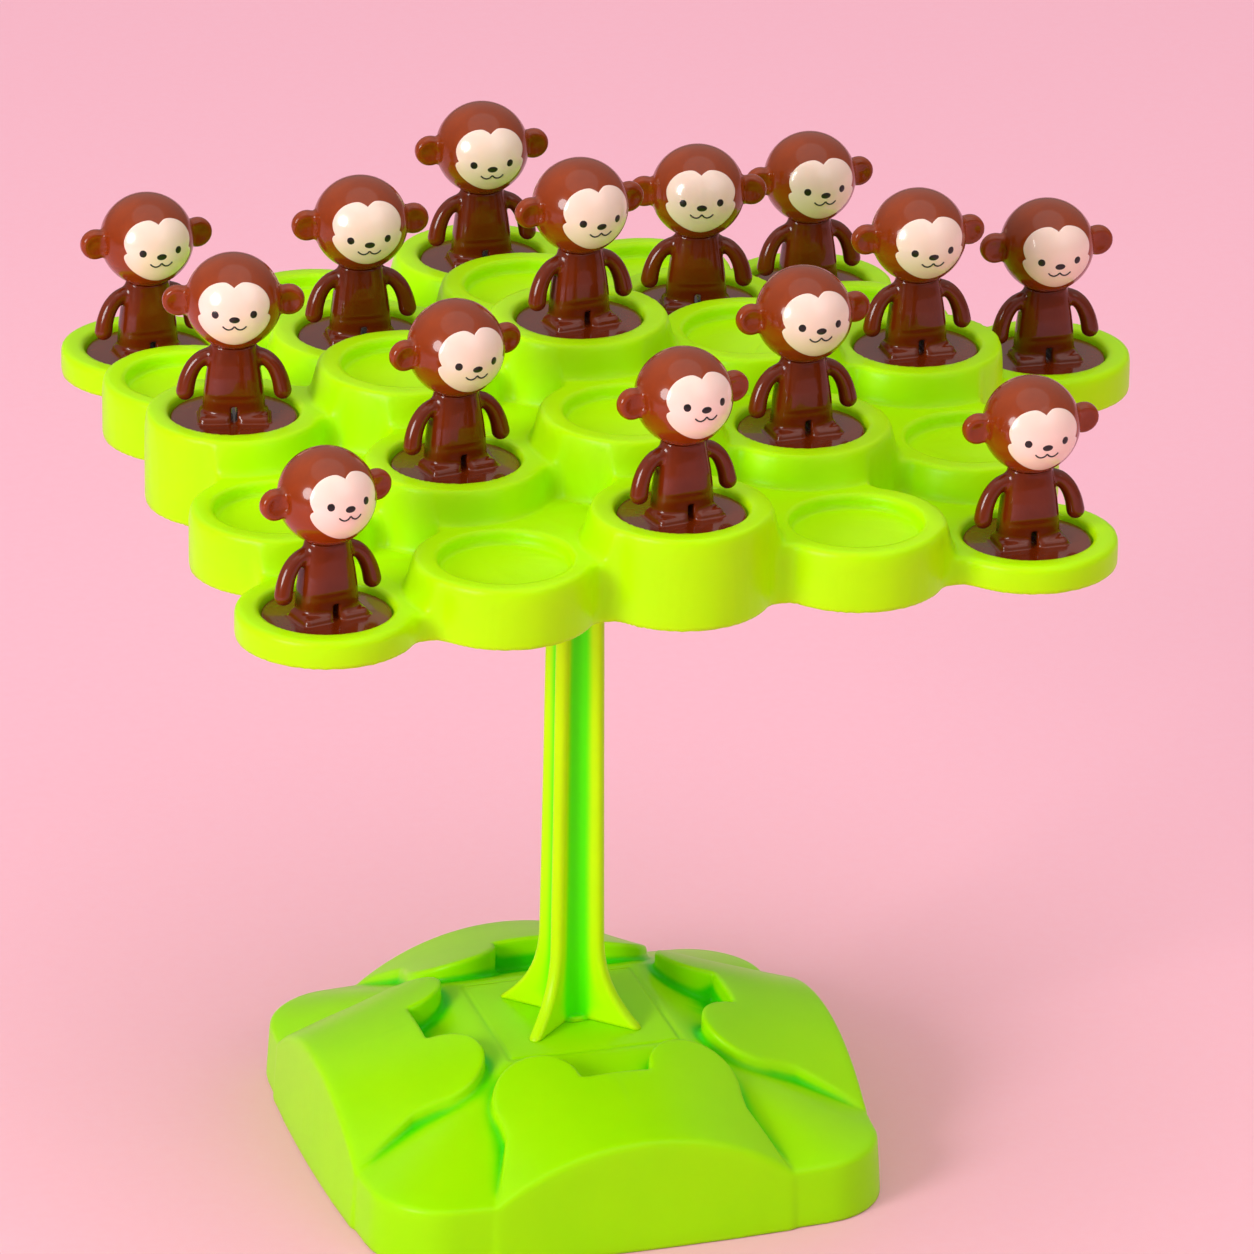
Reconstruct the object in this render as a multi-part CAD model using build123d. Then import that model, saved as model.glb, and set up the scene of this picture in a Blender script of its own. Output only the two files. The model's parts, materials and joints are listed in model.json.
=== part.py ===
from build123d import *
import os
from math import cos, hypot, radians, sin, sqrt

# Balance game: a stepped tray of round cups rocks on top of a tree trunk, and toy monkeys
# stand in the cups. Lengths are in millimetres and angles in degrees.
# The ground is at z zero, under the middle of the base. X runs along the tray's columns and
# Y along its rows, away from the player. All monkeys look roughly towards minus Y.

# Tray
CUP_COUNT = 5
cup_radius = 17.5
cup_neck_radius = 4.0
tray_wall = 1.5
first_rim_height = 5.8
level_step = 6.5
seat_clearance = 0.3
rim_above_disc = 1.4
side_cup_column = 4.93
side_cup_row = 2.44
side_cup_level_share = 1 / 3

# Pivot on top of the trunk
ball_radius = 4.0
pivot_cap_wall = 2.0
pivot_clearance = 0.08
socket_wall = 2.4
ball_neck_radius = 2.4
ball_neck_length = 2.0

# Trunk
trunk_length = 141.5
trunk_top_radius = 5.7
trunk_foot_radius = 7.4
root_radius = 16.4
root_height = 20.0
fin_thickness = 2.6
flute_share = 0.5
peg_radius = 4.5
peg_clearance = 0.05
peg_end_gap = 0.3

# Base
base_height = 27.0
base_half_width = 55.7
base_side_bow = 3.0
base_corner_radius = 13.0
base_wall = 2.4
corner_wall_height = 12.0
plateau_half_width = 19.7
plateau_corner_radius = 1.5
line_half_width = 18.3
line_width = 0.8
line_depth = 0.5
hill_arch_height = 22.7
hill_arch_drop = 11.5
hill_top_height = 31.8
hill_top_drop = 6.3
hill_half_width = 31.3
hill_waist_half_width = 25.2
hill_flare_start = 40.0
hill_inner_edge = 23.1
lobe_radius = 9.2
lobe_reach = 16.3
wall_lean = 2.0

# Monkey: disc, body, arms and head
disc_radius = 12.5
disc_thickness = 1.5
foot_half_width = 7.0
foot_front = 4.9
foot_back = 3.8
foot_height = 1.6
foot_rounding = 0.7
foot_corner_radius = 2.4
hip_half_width = 6.4
hip_half_depth = 4.1
hip_height = 6.7
torso_half_width = 5.8
torso_half_depth = 4.2
shoulder_half_width = 4.5
shoulder_half_depth = 3.3
shoulder_height = 14.1
body_corner_share = 0.7
leg_gap = 1.3
leg_gap_height = 3.0
arm_radius = 1.65
arm_shoulder_reach = 4.0
arm_shoulder_height = 13.2
arm_elbow_reach = 8.2
arm_elbow_height = 9.9
arm_hand_reach = 9.4
arm_hand_height = 5.3
neck_half_width = 4.1
neck_half_depth = 3.0
neck_peg_radius = 2.0
neck_peg_length = 3.0
neck_peg_clearance = 0.02
head_radius = 9.5
head_height = 24.1
ear_radius = 3.15
ear_reach = 10.8
ear_thickness = 2.8
ear_rounding = 0.9
ear_dish_radius = 2.1
ear_dish_depth = 0.7
ear_setback = 0.4
face_thickness = 0.4
face_proud = 0.1
face_lift_angle = 13.0

# One overrun serves every cut that runs past a face.
overrun = 1.0

# How far each monkey has been turned, by its cup's column and row
MONKEY_TURNS = {
    (0, 0): 13.3,
    (2, 0): 10.3,
    (4, 0): 1.2,
    (1, 1): 10.8,
    (3, 1): 3.8,
    (0, 2): -13.2,
    (2, 2): 10.3,
    (4, 2): 0.8,
    (1, 3): -3.7,
    (3, 3): -12.0,
    (0, 4): 4.5,
    (2, 4): -2.6,
    (4, 4): 2.7,
}
SIDE_MONKEY_TURN = -2.2

# How far a head looks up, or down where it is less than zero. The others look level.
HEAD_NODS = {(4, 0): -10.0, (0, 2): -3.5, (2, 2): -3.5, (4, 2): 2.5}
SIDE_HEAD_NOD = 3.5

# The flare of a root fin, as shares of how far it spreads and of its height
flare_shares = [(1, 0.05), (0.51, 0.235), (0.18, 0.43), (0.045, 0.71), (0, 1)]

# Half of the face's outline, as shares of the head's radius, from the dip in the forehead
# round the cheek to the notch, and from the notch down to the chin.
brow_shares = [(0, 0.51), (0.30, 0.575), (0.56, 0.47), (0.725, 0.15), (0.685, -0.125)]
cheek_shares = [(0.685, -0.125), (0.738, -0.215), (0.62, -0.48), (0.35, -0.69), (0, -0.788)]

# Sizes that follow from the ones above
pitch = 2 * cup_radius
cup_depth = disc_thickness + rim_above_disc
recess_radius = disc_radius + seat_clearance
top_rim_height = first_rim_height + (CUP_COUNT - 1) * level_step
cap_inner_radius = ball_radius + pivot_clearance
cap_outer_radius = cap_inner_radius + pivot_cap_wall
socket_radius = cap_outer_radius + pivot_clearance
boss_radius = socket_radius + socket_wall
pivot_z = base_height + trunk_length
peg_length = base_height - base_wall - peg_end_gap
tray_z = pivot_z + socket_radius + tray_wall + cup_depth - top_rim_height


def save(shape, name):
    shape.label = name
    export_step(shape, f"parts/{name}.step")


def prism(sketch, low, high):
    return extrude(Pos(0, 0, low) * sketch, high - low)


def column_at(x, y, radius, low, high):
    return Pos(x, y, low) * Cylinder(radius, high - low, align=(Align.CENTER, Align.CENTER, Align.MIN))


def cup_level(column, row):
    middle = (CUP_COUNT - 1) / 2
    return CUP_COUNT - 1 - abs(column - middle) - abs(row - middle)


def cup_place(column, row):
    middle = (CUP_COUNT - 1) / 2
    return (column - middle) * pitch, (row - middle) * pitch


def tray_cups():
    # Every cup's middle and the height of its rim above the tray's lower edge
    cups = []
    for row in range(CUP_COUNT):
        for column in range(CUP_COUNT):
            rim = first_rim_height + cup_level(column, row) * level_step
            cups.append((*cup_place(column, row), rim))
    side_rim = first_rim_height + side_cup_level_share * level_step
    cups.append((*cup_place(side_cup_column, side_cup_row), side_rim))
    return cups


def neck_between(first, second, inset):
    # The web between two neighbouring cups, with a hollow corner each side
    (ax, ay), (bx, by) = first, second
    span = hypot(bx - ax, by - ay)
    reach = sqrt((cup_radius + cup_neck_radius) ** 2 - (span / 2) ** 2)
    across_x, across_y = -(by - ay) / span * reach, (bx - ax) / span * reach
    middle_x, middle_y = (ax + bx) / 2, (ay + by) / 2
    left = (middle_x + across_x, middle_y + across_y)
    right = (middle_x - across_x, middle_y - across_y)
    web = make_face(Polyline((ax, ay), left, (bx, by), right, close=True))
    corner = Circle(cup_neck_radius + inset)
    return web - Pos(*left) * corner - Pos(*right) * corner


def neighbours(first, second):
    return hypot(first[0] - second[0], first[1] - second[1]) < pitch + cup_neck_radius


def has_cup(places, x, y):
    return any(hypot(x - px, y - py) < cup_neck_radius for px, py in places)


def tray_region(cups, inset):
    # The plan of all cups that reach one height
    places = [(x, y) for x, y, rim in cups]
    region = Sketch() + [Pos(x, y) * Circle(cup_radius - inset) for x, y in places]
    fills = []
    for i, first in enumerate(places):
        for second in places[i + 1:]:
            if not neighbours(first, second):
                continue
            fills.append(neck_between(first, second, inset))
            for third in places:
                if third not in (first, second) and neighbours(first, third) and neighbours(second, third):
                    fills.append(make_face(Polyline(first, second, third, close=True)))
    for x, y in places:
        block = [(x + pitch, y), (x, y + pitch), (x + pitch, y + pitch)]
        if all(has_cup(places, bx, by) for bx, by in block):
            fills.append(Pos(x + pitch / 2, y + pitch / 2) * Rectangle(pitch, pitch))
    return region + fills


def tray_stack(cups, inset, drop):
    # The stepped form, drawn in and lowered by the wall when it is the hollow inside
    heights = sorted({rim for x, y, rim in cups})
    form = None
    low = 0 if drop == 0 else -overrun
    for height in heights:
        reaching = [cup for cup in cups if cup[2] >= height]
        layer = prism(tray_region(reaching, inset), low, height - drop)
        form = layer if form is None else form + layer
        low = height - drop
    return form


def make_tray():
    cups = tray_cups()
    outside = tray_stack(cups, 0, 0)
    hollow = tray_stack(cups, tray_wall, tray_wall)
    floors = [
        column_at(x, y, recess_radius + tray_wall, rim - cup_depth - tray_wall, rim)
        for x, y, rim in cups
    ]
    hollow = hollow - floors
    recesses = [column_at(x, y, recess_radius, rim - cup_depth, rim + overrun) for x, y, rim in cups]
    tray = outside - hollow - recesses
    tray = Pos(0, 0, tray_z) * tray
    boss_top = pivot_z + socket_radius
    boss = column_at(0, 0, boss_radius, pivot_z, boss_top + tray_wall / 2)
    pocket = Pos(0, 0, pivot_z) * Sphere(socket_radius)
    return (tray + boss) - pocket


def make_pivot_cap():
    ball = Sphere(cap_outer_radius) - Sphere(cap_inner_radius)
    upper = column_at(0, 0, boss_radius, 0, boss_radius)
    return Pos(0, 0, pivot_z) * (ball & upper)


def star_section(tip_radius, z):
    # Four rounded fins on the diagonals with a hollow flute between neighbours
    half = fin_thickness / 2
    flat_reach = sqrt(tip_radius ** 2 - half ** 2)
    flute = max(flute_share * trunk_top_radius, half * sqrt(2))
    edges = []
    for quarter in range(4):
        turn = 45 + 90 * quarter

        def spot(along, across, extra=0):
            a = radians(turn + extra)
            return (along * cos(a) - across * sin(a), along * sin(a) + across * cos(a), z)

        edges.append(ThreePointArc(spot(flat_reach, -half), spot(tip_radius, 0), spot(flat_reach, half)))
        start = spot(flat_reach, half)
        end = spot(flat_reach, -half, 90)
        middle = spot(flute, 0, 45)
        edges.append(ThreePointArc(start, middle, end))
    return make_face(Wire(edges))


def root_fin(turn):
    # One fin that flares out at the foot, standing on a diagonal
    half = fin_thickness / 2
    outer = [
        (trunk_foot_radius + (root_radius - trunk_foot_radius) * out, root_height * up)
        for out, up in flare_shares
    ]
    edges = [
        Polyline((0, root_height), (0, 0), (root_radius, 0), outer[0]),
        Spline(*outer),
        Line(outer[-1], (0, root_height)),
    ]
    profile = make_face(Wire([edge for piece in edges for edge in piece.edges()]))
    plane = Plane(origin=(0, half, base_height), x_dir=(1, 0, 0), z_dir=(0, -1, 0))
    return Rot(0, 0, turn) * extrude(plane * profile, fin_thickness)


def make_trunk():
    shoulder = pivot_z - ball_radius - ball_neck_length
    sections = [star_section(trunk_foot_radius, base_height), star_section(trunk_top_radius, shoulder)]
    shaft = loft(sections, ruled=True)
    fins = [root_fin(45 + 90 * quarter) for quarter in range(4)]
    neck = column_at(0, 0, ball_neck_radius, shoulder - overrun, pivot_z)
    ball = Pos(0, 0, pivot_z) * Sphere(ball_radius)
    peg = column_at(0, 0, peg_radius, base_height - peg_length, base_height)
    return shaft + fins + neck + ball + peg


def hill_outline(inset):
    # The plan of the front hill: two round lobes inside, widening towards the outer edge
    outer = base_half_width + overrun
    lobe_middle = hill_inner_edge + lobe_radius
    lobes = [Pos(side * lobe_reach, -lobe_middle) * Circle(lobe_radius - inset) for side in (-1, 1)]
    waist = hill_waist_half_width - inset
    foot = hill_half_width - inset
    half = [(0, -lobe_middle - inset), (waist, -lobe_middle - inset), (waist, -hill_flare_start), (foot, -outer)]
    other_half = [(-x, y) for x, y in reversed(half[1:])]
    return make_face(Polyline(*half, *other_half, close=True)) + lobes


def hill_section(y, height, drop):
    # A slice across the hill, with its arched top
    low = -2 * overrun
    side = height - drop
    edges = [
        ThreePointArc((-hill_half_width, y, side), (0, y, height), (hill_half_width, y, side)),
        Polyline(
            (hill_half_width, y, side), (hill_half_width, y, low),
            (-hill_half_width, y, low), (-hill_half_width, y, side),
        ),
    ]
    return make_face(Wire([edge for piece in edges for edge in piece.edges()]))


def hill(inset):
    # A ramp that falls towards the outer wall and grows more arched on the way
    inner = hill_section(-hill_inner_edge + overrun, hill_top_height - inset, hill_top_drop)
    outer = hill_section(-base_half_width - overrun, hill_arch_height - inset, hill_arch_drop)
    ramp = loft([inner, outer], ruled=True)
    return prism(hill_outline(inset), -overrun, 2 * base_height) & ramp


def bowed_square(half, bow, corner):
    # A rounded square with sides that bow outwards, its half width measured at their middles
    reach = half - bow
    edges = []
    for quarter in range(4):
        if bow == 0:
            side = Line((-reach, -reach), (reach, -reach))
        else:
            side = ThreePointArc((-reach, -reach), (0, -half), (reach, -reach))
        edges += (Rot(0, 0, 90 * quarter) * side).edges()
    plan = make_face(Wire(edges))
    return fillet(plan.vertices(), corner)


def base_form(inset):
    # The whole outer form, drawn in by the wall when it is the hollow inside
    half = base_half_width - inset
    corner = base_corner_radius - inset
    low = 0 if inset == 0 else -overrun
    outer_top = 2 * base_height
    lean = wall_lean * outer_top / base_height
    plan = bowed_square(half, base_side_bow, corner)
    envelope = loft([
        Pos(0, 0, low) * plan,
        Pos(0, 0, outer_top) * bowed_square(half - lean, base_side_bow, corner),
    ])
    # A flat square top with slopes that meet in a ridge on each diagonal
    core = loft([
        Pos(0, 0, corner_wall_height - inset) * plan,
        Pos(0, 0, base_height - inset) * bowed_square(plateau_half_width - inset, 0, plateau_corner_radius),
    ])
    skirt = prism(plan, low, corner_wall_height - inset)
    hills = [Rot(0, 0, 90 * quarter) * hill(inset) for quarter in range(4)]
    return (core + skirt + hills) & envelope


def make_base():
    outside = base_form(0)
    hollow = base_form(base_wall)
    # The socket for the trunk's peg reaches down to the ground and carries the trunk.
    boss = column_at(0, 0, peg_radius + base_wall, 0, base_height - base_wall / 2)
    bore = column_at(0, 0, peg_radius + peg_clearance, base_wall, base_height + overrun)
    line = Rectangle(2 * line_half_width, 2 * line_half_width) - Rectangle(
        2 * (line_half_width - line_width), 2 * (line_half_width - line_width)
    )
    groove = prism(line, base_height - line_depth, base_height + overrun)
    return (outside - hollow) + boss - bore - groove


def body_section(half_width, half_depth, z):
    # A level slice through the monkey's body
    return Pos(0, 0, z) * RectangleRounded(2 * half_width, 2 * half_depth, half_depth * body_corner_share)


def make_monkey_body():
    top = disc_thickness
    disc = column_at(0, 0, disc_radius, 0, top)
    hip_plan = body_section(hip_half_width, hip_half_depth, top)
    torso_plan = body_section(torso_half_width, torso_half_depth, top + hip_height)
    shoulder_plan = body_section(shoulder_half_width, shoulder_half_depth, top + shoulder_height)
    hip = loft([hip_plan, torso_plan])
    torso = loft([torso_plan, shoulder_plan])
    foot_plan = Pos(0, (foot_back - foot_front) / 2) * RectangleRounded(
        2 * foot_half_width, foot_front + foot_back, foot_corner_radius
    )
    feet = prism(foot_plan, top, top + foot_height)
    feet = fillet(feet.faces().sort_by(Axis.Z)[-1].edges(), foot_rounding)
    body = disc + hip + torso + feet
    arm_path = ThreePointArc(
        (arm_shoulder_reach, 0, top + arm_shoulder_height),
        (arm_elbow_reach, 0, top + arm_elbow_height),
        (arm_hand_reach, 0, top + arm_hand_height),
    )
    arm = sweep(Plane(origin=arm_path @ 0, z_dir=arm_path % 0) * Circle(arm_radius), path=arm_path)
    arm = arm + Pos(*(arm_path @ 1)) * Sphere(arm_radius) + Pos(*(arm_path @ 0)) * Sphere(arm_radius)
    body = body + arm + mirror(arm, Plane.YZ)
    depth = 2 * (foot_front + foot_back)
    gap = Pos(0, 0, top) * Box(leg_gap, depth, leg_gap_height, align=(Align.CENTER, Align.CENTER, Align.MIN))
    body = body - gap
    head_z = top + head_height
    neck_top = head_z - sqrt(head_radius ** 2 - neck_half_width ** 2 - neck_half_depth ** 2)
    neck_low = top + shoulder_height
    neck = extrude(body_section(neck_half_width, neck_half_depth, neck_low), neck_top - neck_low)
    neck = neck - Pos(0, 0, head_z) * Sphere(head_radius)
    peg = column_at(0, 0, neck_peg_radius, top + shoulder_height, head_z - head_radius + neck_peg_length)
    return body + neck + peg


def face_column():
    # The face's outline, pushed forward through the head
    def half(shares, side):
        points = [(side * x * head_radius, z * head_radius) for x, z in shares]
        return Spline(*points)

    pieces = []
    for side in (1, -1):
        pieces.append(half(brow_shares, side))
        pieces.append(half(cheek_shares, side))
    outline = make_face(Wire([edge for piece in pieces for edge in piece.edges()]))
    front = Plane(origin=(0, 0, 0), x_dir=(1, 0, 0), z_dir=(0, -1, 0))
    return Rot(-face_lift_angle, 0, 0) * extrude(front * outline, head_radius + overrun)


def make_head_and_face(nod):
    head_z = disc_thickness + head_height
    tilt = Rot(-nod, 0, 0)
    face_floor = Sphere(head_radius - face_thickness)
    column = face_column()
    head = Sphere(head_radius)
    for side in (-1, 1):
        ear = Cylinder(ear_radius, ear_thickness, rotation=(90, 0, 0))
        ear = fillet(ear.edges(), ear_rounding)
        dish_middle = (ear_dish_depth - ear_thickness) / 2
        dish = Pos(0, dish_middle, 0) * Cylinder(ear_dish_radius, ear_dish_depth, rotation=(90, 0, 0))
        head = head + Pos(side * ear_reach, ear_setback, 0) * (ear - dish)
    head = head - (column - face_floor)
    face = (column & Sphere(head_radius + face_proud)) - face_floor
    bore = neck_peg_radius + neck_peg_clearance
    socket = column_at(0, 0, bore, -head_radius - overrun, -head_radius + neck_peg_length)
    head = tilt * head - socket
    return Pos(0, 0, head_z) * head, Pos(0, 0, head_z) * tilt * face


def monkey_seats():
    # Where each monkey stands, how far it is turned and how far its head nods
    seats = []
    for (column, row), turn in MONKEY_TURNS.items():
        rim = first_rim_height + cup_level(column, row) * level_step
        seats.append((*cup_place(column, row), rim, turn, HEAD_NODS.get((column, row), 0)))
    side_rim = first_rim_height + side_cup_level_share * level_step
    side_place = cup_place(side_cup_column, side_cup_row)
    seats.append((*side_place, side_rim, SIDE_MONKEY_TURN, SIDE_HEAD_NOD))
    return seats


os.makedirs("parts", exist_ok=True)
save(make_base(), "base")
save(make_trunk(), "trunk")
save(make_pivot_cap(), "pivot_cap")
save(make_tray(), "tray")

monkey_body = make_monkey_body()
heads = {nod: make_head_and_face(nod) for x, y, rim, turn, nod in monkey_seats()}
for number, (x, y, rim, turn, nod) in enumerate(monkey_seats(), start=1):
    seat = Pos(x, y, tray_z + rim - cup_depth) * Rot(0, 0, turn)
    monkey_head, monkey_face = heads[nod]
    save(seat * monkey_body, f"monkey_{number:02d}_body")
    save(seat * monkey_head, f"monkey_{number:02d}_head")
    save(seat * monkey_face, f"monkey_{number:02d}_face")
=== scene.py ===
import json
from math import cos, pi, radians, sin, sqrt

import bpy
import numpy as np
from mathutils import Matrix, Vector

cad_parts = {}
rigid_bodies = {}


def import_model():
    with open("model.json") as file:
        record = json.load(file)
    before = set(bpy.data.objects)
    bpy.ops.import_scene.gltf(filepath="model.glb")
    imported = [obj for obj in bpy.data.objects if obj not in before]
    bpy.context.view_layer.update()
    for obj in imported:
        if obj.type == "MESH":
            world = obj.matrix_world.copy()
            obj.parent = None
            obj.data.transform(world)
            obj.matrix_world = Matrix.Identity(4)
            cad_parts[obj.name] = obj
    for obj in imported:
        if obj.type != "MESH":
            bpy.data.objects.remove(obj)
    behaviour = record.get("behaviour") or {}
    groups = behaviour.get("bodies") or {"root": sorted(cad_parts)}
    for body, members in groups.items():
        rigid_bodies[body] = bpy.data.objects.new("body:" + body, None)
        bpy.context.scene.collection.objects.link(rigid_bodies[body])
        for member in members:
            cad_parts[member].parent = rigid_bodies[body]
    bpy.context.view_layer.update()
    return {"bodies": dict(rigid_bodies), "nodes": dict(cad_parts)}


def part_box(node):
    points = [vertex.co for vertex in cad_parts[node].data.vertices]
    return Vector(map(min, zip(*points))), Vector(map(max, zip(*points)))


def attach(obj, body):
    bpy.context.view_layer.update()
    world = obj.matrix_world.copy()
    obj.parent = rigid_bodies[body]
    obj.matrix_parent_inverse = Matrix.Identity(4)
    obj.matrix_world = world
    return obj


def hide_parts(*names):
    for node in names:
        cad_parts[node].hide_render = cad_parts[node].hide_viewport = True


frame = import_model()

# A balance game: a stepped tray of cups on a tree trunk, with toy monkeys in the cups.
# Lengths are in metres. The ground is at z zero, under the middle of the base.
mm = 0.001

# Tray
CUP_COUNT = 5
cup_radius = 17.5 * mm
cup_neck_radius = 4.0 * mm
tray_wall = 1.5 * mm
first_rim_height = 5.8 * mm
level_step = 6.5 * mm
recess_radius = 12.8 * mm
recess_depth = 2.9 * mm
recess_floor_rounding = 0.7 * mm
side_cup_column = 4.93
side_cup_row = 2.44
side_cup_level_share = 1 / 3
rim_rounding = 1.1 * mm
lip_rounding = 0.8 * mm
step_wall_start = 0.5 * mm
step_wall_run = 2.6 * mm
boss_radius = 8.64 * mm
socket_radius = 6.16 * mm
pivot_height = 168.5 * mm
tray_cell = 0.75 * mm

# Trunk
trunk_ball_radius = 4.0 * mm
trunk_neck_radius = 2.4 * mm
trunk_shoulder_height = 162.5 * mm
trunk_top_radius = 5.7 * mm
trunk_foot_radius = 7.4 * mm
root_radius = 16.4 * mm
root_height = 20.0 * mm
root_flare_power = 2.8
fin_half_thickness = 1.35 * mm
fin_rounding = 1.0 * mm
trunk_core_radius = 2.5 * mm
flute_fillet = 2.6 * mm
peg_radius = 4.5 * mm
peg_bottom = 2.7 * mm
peg_overlap = 1.0 * mm
trunk_cell = 0.5 * mm

# Base
base_height = 27.0 * mm
base_half_width = 55.6 * mm
base_side_bow = 3.0 * mm
least_bow = 0.02 * mm
base_corner_radius = 13.0 * mm
base_wall = 2.4 * mm
corner_wall_height = 12.0 * mm
plateau_half_width = 19.7 * mm
plateau_corner_radius = 1.5 * mm
line_middle = 17.9 * mm
line_width = 0.8 * mm
line_depth = 0.5 * mm
hill_arch_height = 22.7 * mm
hill_arch_drop = 11.5 * mm
hill_top_height = 31.8 * mm
hill_top_drop = 6.3 * mm
hill_half_width = 31.3 * mm
hill_waist_half_width = 25.2 * mm
hill_flare_start = 40.0 * mm
hill_inner_edge = 23.1 * mm
lobe_radius = 9.2 * mm
lobe_reach = 16.3 * mm
lobe_fillet = 0.6 * mm
hill_rounding = 0.8 * mm
hill_slope_share = 0.93
hill_fillet = 1.3 * mm
slope_rounding = 0.8 * mm
wall_rounding = 1.1 * mm
wall_lean = 2.0 * mm
base_cell = 0.55 * mm
shade_reach = 4

# Monkey, measured up from the underside of its foot disc
disc_radius = 12.5 * mm
disc_thickness = 1.5 * mm
disc_gap = 0.05 * mm
disc_rounding = 0.3 * mm
disc_fillet = 0.35 * mm
head_radius = 9.5 * mm
head_middle = 25.6 * mm
neck_peg_radius = 2.0 * mm
neck_peg_middle = 17.4 * mm
neck_peg_half_length = 1.7 * mm
neck_bore_radius = 2.6 * mm
neck_bore_top = -6.4 * mm
body_top = 19.1 * mm
body_cell = 0.36 * mm
head_cell = 0.4 * mm
head_grid_reach = (14.0 * mm, 9.6 * mm, 9.6 * mm)


# Solids as fields of distances on a grid

def grid_axes(low, high, cell):
    return [np.arange(a - 2 * cell, b + 2.5 * cell, cell) for a, b in zip(low, high)]


def smooth_step(value):
    t = np.clip(value, 0, 1)
    return t * t * (3 - 2 * t)


def cut_rounded(a, b, radius):
    """Where both solids are, with the edge between them rounded."""
    corner = np.hypot(np.maximum(a + radius, 0), np.maximum(b + radius, 0))
    return np.minimum(np.maximum(a, b) + radius, 0) + corner - radius


def join_rounded(a, b, radius):
    """Both solids together, with a hollow fillet between them."""
    return -cut_rounded(-a, -b, radius)


def crossings(field, axis, counts, step_a, step_b):
    """Where each cell's edge along an axis leaves the solid, as a share of the edge, and if it does."""
    others = [a for a in range(3) if a != axis]
    start = [slice(0, n) for n in counts]
    start[others[0]] = slice(step_a, step_a + counts[others[0]])
    start[others[1]] = slice(step_b, step_b + counts[others[1]])
    end = list(start)
    end[axis] = slice(1, counts[axis] + 1)
    a, b = field[tuple(start)], field[tuple(end)]
    crossed = (a < 0) != (b < 0)
    share = np.zeros(a.shape, np.float32)
    share[crossed] = a[crossed] / (a[crossed] - b[crossed])
    return share, crossed, others


def surface_points(field):
    """One point in each cell that the surface passes through, in cells, and the cells' numbers."""
    counts = [n - 1 for n in field.shape]
    total = np.zeros((*counts, 3), np.float32)
    number = np.zeros(counts, np.float32)
    for axis in range(3):
        for step_a in (0, 1):
            for step_b in (0, 1):
                share, crossed, others = crossings(field, axis, counts, step_a, step_b)
                total[..., axis] += share
                total[..., others[0]] += crossed * step_a
                total[..., others[1]] += crossed * step_b
                number += crossed
    active = number > 0
    index = np.full(counts, -1, np.int32)
    index[active] = np.arange(active.sum())
    return np.argwhere(active) + total[active] / number[active][:, None], index


def surface_quads(field, index):
    """A quad round each grid edge that the surface crosses, turned to face outwards."""
    inside = field < 0
    quads = []
    for axis in range(3):
        u, v = (axis + 1) % 3, (axis + 2) % 3
        start = [slice(1, n - 1) for n in field.shape]
        start[axis] = slice(0, field.shape[axis] - 1)
        end = list(start)
        end[axis] = slice(1, field.shape[axis])
        a, b = inside[tuple(start)], inside[tuple(end)]
        for edges, order in ((a & ~b, (0, 1, 2, 3)), (~a & b, (3, 2, 1, 0))):
            here = np.argwhere(edges)
            here[:, u] += 1
            here[:, v] += 1
            corners = []
            for back_u, back_v in ((1, 1), (0, 1), (0, 0), (1, 0)):
                cell = here.copy()
                cell[:, u] -= back_u
                cell[:, v] -= back_v
                corners.append(index[cell[:, 0], cell[:, 1], cell[:, 2]])
            quads.append(np.stack([corners[i] for i in order], axis=1))
    return np.concatenate(quads)


def sample(values, places):
    """Values between grid points, by linear interpolation."""
    whole = np.clip(places.astype(int), 0, np.array(values.shape[:3]) - 2)
    share = (places - whole)[..., None] if values.ndim > 3 else places - whole
    result = 0
    for dx in (0, 1):
        for dy in (0, 1):
            for dz in (0, 1):
                weight = 1
                for axis, d in enumerate((dx, dy, dz)):
                    s = share[:, axis]
                    weight = weight * (s if d else 1 - s)
                result = result + weight * values[whole[:, 0] + dx, whole[:, 1] + dy, whole[:, 2] + dz]
    return result


def gradient_at(slopes, places):
    return np.stack([sample(slope, places) for slope in slopes], axis=1)


def mesh_from_arrays(name, points, quads):
    mesh = bpy.data.meshes.new(name)
    mesh.vertices.add(len(points))
    mesh.vertices.foreach_set("co", points.astype(np.float32).ravel())
    mesh.loops.add(quads.size)
    mesh.loops.foreach_set("vertex_index", quads.astype(np.int32).ravel())
    mesh.polygons.add(len(quads))
    mesh.polygons.foreach_set("loop_start", np.arange(0, quads.size, quads.shape[1], dtype=np.int32))
    mesh.update(calc_edges=True)
    return mesh


def make_piece(name, mesh):
    piece = bpy.data.objects.new(name, mesh)
    bpy.context.scene.collection.objects.link(piece)
    return piece


def applied(piece):
    """The piece's mesh with its modifiers applied, in place of the one it had."""
    graph = bpy.context.evaluated_depsgraph_get()
    mesh = bpy.data.meshes.new_from_object(piece.evaluated_get(graph))
    piece.modifiers.clear()
    piece.data = mesh
    mesh.name = piece.name
    return piece


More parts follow.
